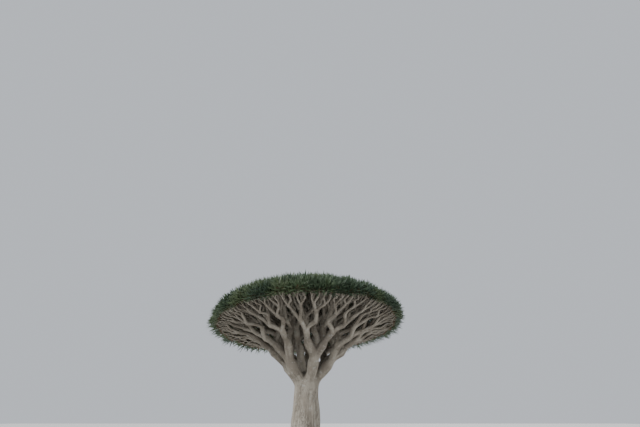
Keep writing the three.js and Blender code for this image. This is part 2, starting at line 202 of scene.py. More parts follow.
@dataclass(frozen=True)
class CrownRule:
    """The dome that the branch tips reach, the ways out to it, and the rule that parts it."""

    tip_radius: float = 2.74
    rim_level: float = 3.61
    dome_rise: float = 0.92
    rim_angle: float = math.radians(91)
    tilt_east: float = math.tan(math.radians(2.6))
    tilt_south: float = math.tan(math.radians(4.4))
    heart_level: float = 2.02
    heart_radius: float = 0.165
    heart_power: float = 0.7
    bend_radius: float = 1.05
    bend_power: float = 1.1
    bend_level_top: float = 3.35
    bend_drop: float = 0.37
    drop_power: float = 1.5
    fork_wander: float = 0.03
    side_wander: float = 0.2
    split_wander: float = 0.14
    upward_pull: float = 0.42

    def tip_at(self, ring: float) -> np.ndarray:
        """Give the dome's radius and level at a ring."""
        polar = ring * self.rim_angle
        level = self.rim_level + self.dome_rise * math.cos(polar)
        return np.array([self.tip_radius * math.sin(polar), level])

    def way_out(self, ring: float, depth: float) -> np.ndarray:
        """Give radius and level at a depth of the way out to a ring.

        Args:
            ring: The ring.
            depth: The depth, from 0 at the trunk's head to 1 at the tip.

        Returns:
            The radius and the level.
        """
        heart = np.array([self.heart_radius * ring**self.heart_power, self.heart_level])
        bend_level = self.bend_level_top - self.bend_drop * ring**self.drop_power
        bend = np.array([self.bend_radius * ring**self.bend_power, bend_level])
        back = 1 - depth
        return back * back * heart + 2 * back * depth * bend + depth * depth * self.tip_at(ring)

    def point(self, place: Place) -> np.ndarray:
        """Give the point in space of a place of the crown.

        Args:
            place: The place.

        Returns:
            The point.
        """
        radius, level = self.way_out(place.ring, place.depth)
        x = radius * math.cos(place.turn)
        y = radius * math.sin(place.turn)
        climb = (x * self.tilt_east - y * self.tilt_south) * place.ring**2 * place.depth
        return np.array([x, y, level + climb])

    def outward(self, place: Place) -> np.ndarray:
        """Give the way that a tip at a place grows: out of the dome, drawn upwards."""
        polar = place.ring * self.rim_angle
        out, up = unit(np.array([math.sin(polar) / self.tip_radius, math.cos(polar) / self.dome_rise]))
        return unit(np.array([out * math.cos(place.turn), out * math.sin(place.turn), up + self.upward_pull]))

    def ring_between(self, inner: float, outer: float, share: float) -> float:
        """Give the ring that parts the dome's area between two rings at a share of it.

        Args:
            inner: The upper ring.
            outer: The lower ring.
            share: The share of the area above the ring.

        Returns:
            The ring.
        """
        low = 1 - math.cos(inner * self.rim_angle)
        high = 1 - math.cos(outer * self.rim_angle)
        return math.acos(1 - blend(low, high, share)) / self.rim_angle

    def heart_of(self, cell: Cell, seed: int, depth: float, share: float = 0.5) -> Place:
        """Give a place near the middle of a cell.

        Args:
            cell: The cell.
            seed: The number of the limb that comes to it.
            depth: The depth that the place is near.
            share: The share of the cell's area that lies further up the dome.

        Returns:
            The place.
        """
        ring_share = share + wander(seed, Draw.RING, self.side_wander)
        return Place(
            depth + wander(seed, Draw.DEPTH, self.fork_wander),
            self.ring_between(cell.inner, cell.outer, ring_share),
            blend(cell.start, cell.stop, 0.5 + wander(seed, Draw.TURN, self.side_wander)),
        )

    def halves(self, cell: Cell, seed: int) -> tuple[Cell, Cell]:
        """Split a cell in two across its longer side.

        Args:
            cell: The cell.
            seed: The number of the limb that forks there.

        Returns:
            The two halves.
        """
        at = 0.5 + wander(seed, Draw.SPLIT, self.split_wander)
        inner = self.tip_at(cell.inner)
        outer = self.tip_at(cell.outer)
        width = (inner[0] + outer[0]) / 2 * (cell.stop - cell.start)
        if width > np.linalg.norm(inner - outer):
            turn = blend(cell.start, cell.stop, at)
            return replace(cell, stop=turn), replace(cell, start=turn)
        ring = self.ring_between(cell.inner, cell.outer, at)
        return replace(cell, outer=ring), replace(cell, inner=ring)


@dataclass(frozen=True)
class PipeRule:
    """The thickness of limbs by the number of finest tips that they carry."""

    finest_radius: float = 0.0167
    power: float = 0.4
    flare: float = 0.32
    flare_reach: float = 0.17
    waist: float = 0.08
    waist_reach: float = 0.22
    knuckle: float = 0.06
    knuckle_reach: float = 0.14

    def along(self, tips: int, share: np.ndarray) -> np.ndarray:
        """Give the radius along a limb, wide where it leaves a fork and swollen below the next one.

        Args:
            tips: How many finest tips the limb carries.
            share: Shares of the way along it, from 0 to 1.

        Returns:
            The radius at each share.
        """
        wide = swell(share, self.flare, 0, self.flare_reach)
        drawn = swell(share, self.waist, 0.5, self.waist_reach)
        swollen = swell(share, self.knuckle, 1, self.knuckle_reach)
        return self.finest_radius * tips**self.power * (1 + wide - drawn + swollen)


@dataclass(frozen=True)
class Limb:
    """A limb between two places of the crown, and the place where the limb below it starts."""

    start: Place
    end: Place
    tips: int
    seed: int
    before: Place

    def forked(self, end: Place, seed: int) -> Limb:
        """Give one of the two limbs in which this one forks."""
        return Limb(self.end, end, self.tips // 2, seed, self.start)


@dataclass
class Mass:
    """All limbs that grow from one stem, from the stem to the twigs that carry rosettes."""

    name: str
    limbs: list[Limb]

    def last_twigs(self) -> list[Limb]:
        """Give the twigs that carry rosettes."""
        return [limb for limb in self.limbs if limb.tips == 1]


@dataclass
class Growth:
    """Grows the whole tree's limbs by the crown's rule."""

    crown: CrownRule = field(default_factory=CrownRule)
    first_turn: float = math.radians(-104)
    top_ring: float = 0.28
    middle_ring: float = 0.62
    middle_ring_wander: float = 0.05
    outer_boughs: int = 6
    leaders: int = 2
    first_bough_id: int = 11
    first_leader_id: int = 5
    lean_out: float = 0.66
    bough_fork: float = 0.27
    leader_fork: float = 0.4
    branch_fork: float = 0.46
    twig_forks: tuple[float, ...] = (0.6, 0.7, 0.8, 0.87, 0.92, 0.96)
    tips_per_mass: int = 64
    boughs: dict[str, Limb] = field(default_factory=dict)
    sectors: list[list[Mass]] = field(default_factory=list)

    def sector_cell(self, k: int, count: int, inner: float, outer: float) -> Cell:
        """Give the cell of one of several limbs that stand round the trunk's axis."""
        width = FULL_TURN / count
        return Cell(inner, outer, self.first_turn + width * k, self.first_turn + width * (k + 1))

    def grow_twigs(self, mass: Mass, cell: Cell, limb: Limb, level: int) -> None:
        """Fork a limb in two, and those in turn, until each ends in a rosette.

        Args:
            mass: The mass that takes the twigs.
            cell: The cell that the limb has come to.
            limb: The limb.
            level: How many forks the mass has had before.
        """
        depth = (*self.twig_forks, 1.0)[level + 1]
        for side, half in enumerate(self.crown.halves(cell, limb.seed)):
            seed = limb.seed * 2 + side
            twig = limb.forked(self.crown.heart_of(half, seed, depth), seed)
            mass.limbs.append(twig)
            if twig.tips > 1:
                self.grow_twigs(mass, half, twig, level + 1)

    def grow_mass(self, name: str, cell: Cell, seed: int, carrier: Limb) -> Mass:
        """Grow one mass from the tip of the limb that carries it.

        Args:
            name: The mass's name.
            cell: The cell that it fills.
            seed: The number of its stem.
            carrier: The limb that carries it.

        Returns:
            The mass.
        """
        stem = carrier.forked(self.crown.heart_of(cell, seed, self.twig_forks[0]), seed)
        mass = Mass(name, [stem])
        self.grow_twigs(mass, cell, stem, 0)
        return mass

    def risen(self, name: str, heart: Place, tips: int, seed: int) -> Limb:
        """Grow a limb from the trunk's head to a heart.

        Args:
            name: The limb's name.
            heart: The place where it forks.
            tips: How many finest tips it carries.
            seed: Its number.

        Returns:
            The limb.
        """
        start = replace(heart, depth=0)
        self.boughs[name] = Limb(start, heart, tips, seed, start)
        return self.boughs[name]

    def grow_outer_bough(self, k: int) -> None:
        """Grow one outer bough with its two branches and their four masses.

        Args:
            k: Which of the outer boughs it is, from 0.
        """
        seed = self.first_bough_id + k
        cell = self.sector_cell(k, self.outer_boughs, self.top_ring, 1)
        heart = self.crown.heart_of(cell, seed, self.bough_fork, self.lean_out)
        bough = self.risen(f"bough_{k + 1}", heart, self.tips_per_mass * 4, seed)
        masses = []
        for side, half in enumerate(cell.sides()):
            branch_seed = seed * 2 + side
            tag = f"{k + 1}{'ab'[side]}"
            fork = self.crown.heart_of(half, branch_seed, self.branch_fork, self.lean_out)
            branch = bough.forked(fork, branch_seed)
            self.boughs[f"branch_{tag}"] = branch
            ring = self.middle_ring + wander(branch_seed, Draw.MIDDLE_RING, self.middle_ring_wander)
            middle = replace(half, outer=ring)
            rim = replace(half, inner=ring)
            masses.append(self.grow_mass(f"foliage_middle_{tag}", middle, branch_seed * 2, branch))
            masses.append(self.grow_mass(f"foliage_rim_{tag}", rim, branch_seed * 2 + 1, branch))
        self.sectors.append(masses)

    def grow_leaders(self) -> None:
        """Grow the leaders that rise in the middle, each with two masses of the crown's top."""
        masses = []
        for k in range(self.leaders):
            seed = self.first_leader_id + k
            cell = self.sector_cell(k, self.leaders, 0, self.top_ring)
            heart = self.crown.heart_of(cell, seed, self.leader_fork)
            leader = self.risen(f"leader_{k + 1}", heart, self.tips_per_mass * 2, seed)
            for side, half in enumerate(cell.sides()):
                name = f"foliage_top_{k + 1}{'ab'[side]}"
                masses.append(self.grow_mass(name, half, seed * 2 + side, leader))
        self.sectors.append(masses)

    def grow(self) -> Growth:
        """Grow all limbs and give the growth back."""
        for k in range(self.outer_boughs):
            self.grow_outer_bough(k)
        self.grow_leaders()
        return self


@dataclass
class LimbPath:
    """A limb's line in space with its radius at each point."""

    points: np.ndarray
    radii: np.ndarray

    def run(self) -> np.ndarray:
        """Give the length along the line up to each point."""
        steps = np.linalg.norm(np.diff(self.points, axis=0), axis=1)
        return np.concatenate([[0], np.cumsum(steps)])

    def frames(self) -> tuple[np.ndarray, np.ndarray, np.ndarray]:
        """Give the line's direction and two directions across it at each point, without a twist.

        Returns:
            The direction along the line and the two across it, each with one row for each point.
        """
        along = unit(np.gradient(self.points, axis=0))
        across = np.zeros_like(along)
        lies_along_x = abs(along[0][0]) >= MOSTLY_ALONG
        current = np.cross(along[0], [0.0, 1.0, 0.0] if lies_along_x else [1.0, 0.0, 0.0])
        for i, way in enumerate(along):
            current = unit(current - way * current.dot(way))
            across[i] = current
        return along, across, np.cross(along, across)


@dataclass(frozen=True)
class Tracing:
    """Turns a limb of the rule into a slightly winding line with its radii."""

    crown: CrownRule
    pipe: PipeRule
    winding: float = 0.028
    half_swings: float = 1.6
    side_rise: float = 0.3
    hold: float = 0.5
    sunk: float = 0.6
    sunk_width: float = 0.9

    def path(self, limb: Limb, steps: int) -> LimbPath:
        """Trace a limb.

        Args:
            limb: The limb.
            steps: How many points its line has between its forks.

        Returns:
            The line, with a lead-in sunk in the limb that it leaves.
        """
        share = np.linspace(0, 1, steps)
        points = np.array([self.crown.point(limb.start.towards(limb.end, s)) for s in share])
        line = points[-1] - points[0]
        length = np.linalg.norm(line)
        aside = [wander(limb.seed, Draw.SIDE_X, 1), wander(limb.seed, Draw.SIDE_Y, 1), self.side_rise]
        side = unit(np.cross(line / length, aside))
        phase = FULL_TURN * chance(limb.seed, Draw.PHASE)
        swing = np.sin(share * math.pi) * np.sin(share * self.half_swings * math.pi + phase)
        points += side * (swing * self.winding * length)[:, None]
        held = points[0] - self.crown.point(limb.before)
        if held.any():
            turned = unit(held) - line / length
            points += turned * (share * (1 - share) ** 2 * length * self.hold)[:, None]
        radii = self.pipe.along(limb.tips, share)
        lead = points[0] - unit(points[1] - points[0]) * radii[0] * self.sunk
        return LimbPath(np.vstack([lead, points]), np.concatenate([[radii[0] * self.sunk_width], radii]))


@dataclass
class Skin:
    """Rings of points and the faces between them, joined into one mesh with the bark's own space."""

    points: list[np.ndarray] = field(default_factory=list)
    space: list[np.ndarray] = field(default_factory=list)
    slimness: list[np.ndarray] = field(default_factory=list)
    faces: list[tuple[int, ...]] = field(default_factory=list)
    count: int = 0
    knuckle_steps: tuple[float, ...] = (0.45, 0.8)
    knuckle_close: float = 1.35
    pattern_span: int = 97

    def add_rings(self, rings: np.ndarray, space: np.ndarray, slim: float) -> None:
        """Add a tube of rings, closed by a fan at each end.

        Args:
            rings: The points, by ring and side.
            space: The same points in the straightened space that the bark's pattern follows.
            slim: How slim the limb is, from 0 for the trunk to 1 for the finest twig.
        """
        steps, sides = rings.shape[:2]
        first = self.count
        last = first + (steps - 1) * sides
        bottom = first + steps * sides
        edges = [(side, (side + 1) % sides) for side in range(sides)]
        for low in range(first, last, sides):
            for side, onward in edges:
                self.faces.append((low + side, low + onward, low + sides + onward, low + sides + side))
        for side, onward in edges:
            self.faces.append((first + onward, first + side, bottom))
            self.faces.append((last + side, last + onward, bottom + 1))
        for store, values in ((self.points, rings), (self.space, space)):
            store.append(np.vstack([values.reshape(-1, 3), values[0].mean(0), values[-1].mean(0)]))
        self.slimness.append(np.full(steps * sides + 2, slim))
        self.count += steps * sides + 2

    def add_limb(self, path: LimbPath, sides: int, slim: float) -> None:
        """Add a round limb whose end is a rounded knuckle.

        Args:
            path: Its line and radii.
            sides: How many sides it has.
            slim: How slim it is, from 0 for the trunk to 1 for the finest twig.
        """
        along, across, third = path.frames()
        dome = np.array(self.knuckle_steps)
        points = np.vstack([path.points, path.points[-1] + along[-1] * (path.radii[-1] * dome)[:, None]])
        radii = np.concatenate([path.radii, path.radii[-1] * np.cos(dome * self.knuckle_close)])
        across = np.vstack([across, across[-1:], across[-1:]])
        third = np.vstack([third, third[-1:], third[-1:]])
        turn = np.arange(sides) / sides * FULL_TURN
        circle = np.cos(turn)[None, :, None] * across[:, None] + np.sin(turn)[None, :, None] * third[:, None]
        rings = points[:, None] + circle * radii[:, None, None]
        run = LimbPath(points, radii).run() + self.count % self.pattern_span
        flat = np.stack([np.outer(radii, np.cos(turn)), np.outer(radii, np.sin(turn)),
                         np.repeat(run[:, None], sides, axis=1)], axis=2)
        self.add_rings(rings, flat, slim)

    def mesh(self, name: str) -> Mesh:
        """Make the mesh, with the bark's space, slimness and clearness as attributes.

        Args:
            name: Its name.

        Returns:
            The mesh.
        """
        mesh = bpy.data.meshes.new(name)
        mesh.from_pydata(np.vstack(self.points).tolist(), [], self.faces)
        write_bark(mesh, np.vstack(self.space), np.concatenate(self.slimness), np.ones(self.count))
        mesh.update()
        return mesh


def write_attribute(mesh: Mesh, name: str, values: np.ndarray, kind: str = "FLOAT") -> None:
    """Store a value for each point of a mesh.

    Args:
        mesh: The mesh.
        name: The attribute's name.
        values: One number or one vector for each point.
        kind: Blender's word for the type of a number.
    """
    vector = values.ndim == 2
    attribute = mesh.attributes.new(name, "FLOAT_VECTOR" if vector else kind, "POINT")
    attribute.data.foreach_set("vector" if vector else "value", values.ravel())


def write_bark(mesh: Mesh, space: np.ndarray, slimness: np.ndarray, clearness: np.ndarray) -> None:
    """Store what the bark's material reads at each point of a mesh, and smooth its faces.

    Args:
        mesh: The mesh.
        space: Where each point is in the bark's own space.
        slimness: How slim the limb at each point is.
        clearness: How clear each point is of a second limb, from 0 to 1.
    """
    write_attribute(mesh, BARK_SPACE, space)
    write_attribute(mesh, SLIMNESS, slimness)
    write_attribute(mesh, CLEARNESS, clearness)
    mesh.polygons.foreach_set("use_smooth", [True] * len(mesh.polygons))


def read_vectors(parts: bpy.types.bpy_prop_collection, name: str) -> np.ndarray:
    """Read a vector of each part of a mesh, one in each row."""
    values = np.zeros(len(parts) * 3)
    parts.foreach_get(name, values)
    return values.reshape(-1, 3)


def noise_at(points: np.ndarray) -> np.ndarray:
    """Give smooth noise from -1 to 1 at each of some points."""
    return np.array([noise.noise(point) for point in points.tolist()])


def placed(name: str, data: bpy.types.ID) -> Piece:
    """Put a mesh, camera or lamp in the scene as an object at the origin."""
    piece = bpy.data.objects.new(name, data)
    bpy.context.scene.collection.objects.link(piece)
    return piece


def settled(piece: Piece, name: str) -> Piece:
    """Turn an object with modifiers into one with a plain mesh.

    Args:
        piece: The object, which is removed.
        name: The name of the new object.

    Returns:
        The new object.
    """
    graph = bpy.context.evaluated_depsgraph_get()
    mesh = bpy.data.meshes.new_from_object(piece.evaluated_get(graph), depsgraph=graph)
    bpy.data.objects.remove(piece)
    mesh.name = name
    return placed(name, mesh)


class Finish(Enum):
    """The finishes of the tree, by the record's material slots."""

    BARK = "bark"
    LEAF = "foliage"


def stand_in(piece: Piece, nodes: Iterable[str]) -> Piece:
    """Let a piece stand for some CAD nodes and give it back: the piece hangs from the root body, and the
    nodes are hidden.

    Args:
        piece: The piece.
        nodes: The names of the nodes.

    Returns:
        The piece.
    """
    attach(piece, "root")
    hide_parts(*nodes)
    return piece


@dataclass(frozen=True)
class Pattern:
    """A noise: how fine it is along each coordinate and how many finer layers it has.

    As a cover, it begins where its value is at start and is whole at full. Its share is how strongly it
    counts.
    """

    grain: Triple
    layers: float
    start: float = 0
    full: float = 1
    share: float = 1


@dataclass(frozen=True)
class NodeKit:
    """Adds nodes to a tree of nodes and links them."""

    tree: bpy.types.NodeTree

    def feed(self, target: Socket, value: Feed) -> None:
        """Link one or more values to a socket, or set it when the value is plain.

        Args:
            target: The socket.
            value: A socket or a list of sockets to link, or a plain value to set.
        """
        if isinstance(value, list):
            for item in value:
                self.tree.links.new(item, target)
        elif isinstance(value, Socket):
            self.tree.links.new(value, target)
        elif target.type == "RGBA":
            target.default_value = (*value, 1)
        else:
            target.default_value = value

    def node(self, kind: str, feeds: dict[str | int, Feed], output: str | int = 0,
             **options: str | bool) -> Socket:
        """Add a node.

        Args:
            kind: Blender's name for its type.
            feeds: What its inputs take, by their names or numbers.
            output: The name or number of the output to give.
            options: Its settings.

        Returns:
            The output.
        """
        node = self.tree.nodes.new(kind)
        for name, option in options.items():
            setattr(node, name, option)
        for name, value in feeds.items():
            self.feed(node.inputs[name], value)
        return node.outputs[output]

    def maths(self, action: str, *values: Feed, clamp: bool = False) -> Socket:
        """Add a sum and give its value."""
        return self.node("ShaderNodeMath", dict(enumerate(values)), operation=action, use_clamp=clamp)


@dataclass(frozen=True)
class ShaderKit(NodeKit):
    """Adds the nodes of a material."""

    material: Material

    @classmethod
    def for_new(cls, name: str) -> ShaderKit:
        """Start a new material."""
        material = bpy.data.materials.new(name)
        material.use_nodes = True
        return cls(material.node_tree, material)

    def finish(self, **values: Feed) -> Material:
        """Feed the shader's sockets, by their names with spaces as underscores, and give the material."""
        shader = self.tree.nodes["Principled BSDF"]
        for name, value in values.items():
            self.feed(shader.inputs[name.replace("_", " ")], value)
        return self.material

    def attribute(self, name: str, output: str) -> Socket:
        """Read an attribute of the mesh."""
        return self.node("ShaderNodeAttribute", {}, output, attribute_name=name)

    def place(self) -> Socket:
        """Read the object's own coordinates."""
        return self.node("ShaderNodeTexCoord", {}, "Object")

    def scaled(self, source: Socket, scale: Triple) -> Socket:
        """Scale coordinates."""
        return self.node("ShaderNodeMapping", {"Vector": source, "Scale": scale})

    def noise(self, source: Socket, pattern: Pattern, output: str = "Fac") -> Socket:
        """Add a noise.

        Args:
            source: The coordinates.
            pattern: How fine it is.
            output: Fac for one value, mostly from 0.3 to 0.7, or Color for three.

        Returns:
            The noise.
        """
        feeds = {"Vector": self.scaled(source, pattern.grain), "Scale": 1, "Detail": pattern.layers}
        return self.node("ShaderNodeTexNoise", feeds, output)

    def cracks(self, source: Socket, pattern: Pattern, bend: float) -> Socket:
        """Add a pattern of plates with bent edges.

        Args:
            source: The coordinates.
            pattern: How fine the plates are, and the noise that bends their edges.
            bend: How far it moves them, in plates.

        Returns:
            The distance from the nearest edge, in plates.
        """
        shift = self.noise(source, pattern, "Color")
        feeds = {0: shift, 1: (bend, bend, bend), 2: self.scaled(source, pattern.grain)}
        moved = self.node("ShaderNodeVectorMath", feeds, operation="MULTIPLY_ADD")
        feeds = {"Vector": moved, "Scale": 1}
        return self.node("ShaderNodeTexVoronoi", feeds, "Distance", feature="DISTANCE_TO_EDGE")

    def step(self, value: Socket, low: float, high: float) -> Socket:
        """Give 0 where a value is at low or beyond, 1 at high or beyond, and a ramp between."""
        slope = 1 / (high - low)
        return self.maths("MULTIPLY_ADD", value, slope, -low * slope, clamp=True)

    def cover(self, source: Socket, pattern: Pattern) -> Socket:
        """Give how far a pattern covers each place, from 0 to 1, before its share is taken."""
        return self.step(self.noise(source, pattern), pattern.start, pattern.full)

    def mix(self, share: Socket, first: Feed, second: Feed) -> Socket:
        """Mix two colours by a share and give the colour."""
        return self.node("ShaderNodeMix", {0: share, 6: first, 7: second}, 2, data_type="RGBA")

    def laid(self, under: Socket, over: Triple, cover: Socket, share: float) -> Socket:
        """Lay a share of a colour over another one where the cover says."""
        return self.mix(self.maths("MULTIPLY", cover, share), under, over)

    def bump(self, height: Socket, strength: float, depth: float) -> Socket:
        """Turn a height into a bumped normal."""
        return self.node("ShaderNodeBump", {"Strength": strength, "Distance": depth, "Height": height})


@dataclass(frozen=True)
class BarkFinish:
    """Dry grey-tan bark, cracked on the trunk and ringed on the branches, with a few red stains."""

    pale: Triple = (0.38, 0.345, 0.285)
    mid: Triple = (0.235, 0.205, 0.165)
    lichen: Triple = (0.46, 0.455, 0.41)
    crack: Triple = (0.085, 0.068, 0.054)
    stain: Triple = (0.15, 0.045, 0.026)
    patches: Pattern = Pattern((2.6, 2.6, 1.7), 7, 0.38, 0.62)
    streaks: Pattern = Pattern((15, 15, 2.4), 6, share=0.7)
    spots: Pattern = Pattern((11, 11, 11), 5, 0.6, 0.66, 0.45)
    wear: Pattern = Pattern((3.7, 3.7, 2.1), 4, 0.62, 0.42)
    bands: Pattern = Pattern((5, 5, 40), 3, 0.56, 0.46, 0.3)
    wounds: Pattern = Pattern((2.6, 2.6, 0.7), 5, 0.62, 0.68, 0.7)
    fibres: Pattern = Pattern((48, 48, 30), 5, share=0.8)
    plates: Pattern = Pattern((25, 25, 6.5), 3, share=0.6)
    crack_width: float = 0.075
    crack_bend: float = 1.3
    slim_fading: float = 0.8
    unstained_slimness: float = 0.5
    plate_edge: float = 0.25
    plate_height: float = 0.5
    band_height: float = 0.45
    bump_strength: float = 0.8
    bump_depth: float = 0.016
    roughness: float = 0.86
    gloss: float = 0.25

    def material(self) -> Material:
        """Make the bark's material.

        Returns:
            The material.
        """
        kit = ShaderKit.for_new("grey_bark")
        place = kit.place()
        run = kit.attribute(BARK_SPACE, "Vector")
        slim = kit.attribute(SLIMNESS, "Fac")
        clear = kit.attribute(CLEARNESS, "Fac")

        streaks = kit.maths("MULTIPLY", kit.maths("SUBTRACT", kit.noise(run, self.streaks), 0.5), clear)
        mottled = kit.maths("MULTIPLY_ADD", streaks, self.streaks.share, kit.noise(place, self.patches))
        colour = kit.mix(kit.step(mottled, self.patches.start, self.patches.full), self.mid, self.pale)
        colour = kit.laid(colour, self.lichen, kit.cover(place, self.spots), self.spots.share)

        plates, along_limb = (kit.cracks(space, self.plates, self.crack_bend) for space in (place, run))
        plates = kit.node("ShaderNodeMix", {0: clear, 2: plates, 3: along_limb})
        deep = kit.maths("MULTIPLY_ADD", slim, -self.slim_fading, 1.0)
        deep = kit.maths("MULTIPLY", deep, kit.cover(place, self.wear))
        lines = kit.maths("MULTIPLY", kit.step(plates, self.crack_width, 0.0), deep)
        colour = kit.laid(colour, self.crack, lines, self.plates.share)

        bands = kit.maths("MULTIPLY", kit.cover(run, self.bands), kit.maths("MULTIPLY", slim, clear))
        colour = kit.laid(colour, self.crack, bands, self.bands.share)

        thick = kit.step(slim, self.unstained_slimness, 0.0)
        wounds = kit.maths("MULTIPLY", kit.cover(place, self.wounds), thick)
        colour = kit.laid(colour, self.stain, wounds, self.wounds.share)

        humps = kit.maths("MULTIPLY", kit.step(plates, 0, self.plate_edge), self.plate_height)
        humps = kit.maths("MULTIPLY_ADD", kit.noise(place, self.fibres), self.fibres.share, humps)
        height = kit.maths("MULTIPLY_ADD", bands, -self.band_height, kit.maths("SUBTRACT", humps, lines))
        return kit.finish(
            Base_Color=colour,
            Roughness=self.roughness,
            Specular_IOR_Level=self.gloss,
            Normal=kit.bump(height, self.bump_strength, self.bump_depth),
        )


@dataclass(frozen=True)
class LeafFinish:
    """Leathery sword leaves in a few greens, dealt out by spray, with a rusty base."""

    greens: tuple[Triple, ...] = (
        (0.066, 0.100, 0.056),
        (0.086, 0.126, 0.064),
        (0.052, 0.083, 0.052),
        (0.108, 0.143, 0.072),
    )
    base: Triple = (0.135, 0.085, 0.045)
    unevenness: Pattern = Pattern((7, 7, 7), 2)
    smoothest: float = 0.4
    roughest: float = 0.62
    gloss: float = 0.4

    def leathery(self, name: str, colour: Triple) -> Material:
        """Make the material of one colour, with a faint unevenness in its roughness."""
        kit = ShaderKit.for_new(name)
        uneven = kit.noise(kit.place(), self.unevenness)
        roughness = kit.maths("MULTIPLY_ADD", uneven, self.roughest - self.smoothest, self.smoothest)
        return kit.finish(Base_Color=colour, Roughness=roughness, Specular_IOR_Level=self.gloss)

    def materials(self) -> list[Material]:
        """Make the greens, and the rusty base last."""
        made = [self.leathery(f"leaf_green_{k + 1}", green) for k, green in enumerate(self.greens)]
        return [*made, self.leathery("leaf_base", self.base)]


@dataclass(frozen=True)
class BarkMap:
    """What each point of the skin knows of its nearest limb.

    space is its place across and along the limb, slimness and girth are the limb's, and clearness is 1
    away from any second limb.
    """

    space: np.ndarray
    slimness: np.ndarray
    girth: np.ndarray
    clearness: np.ndarray


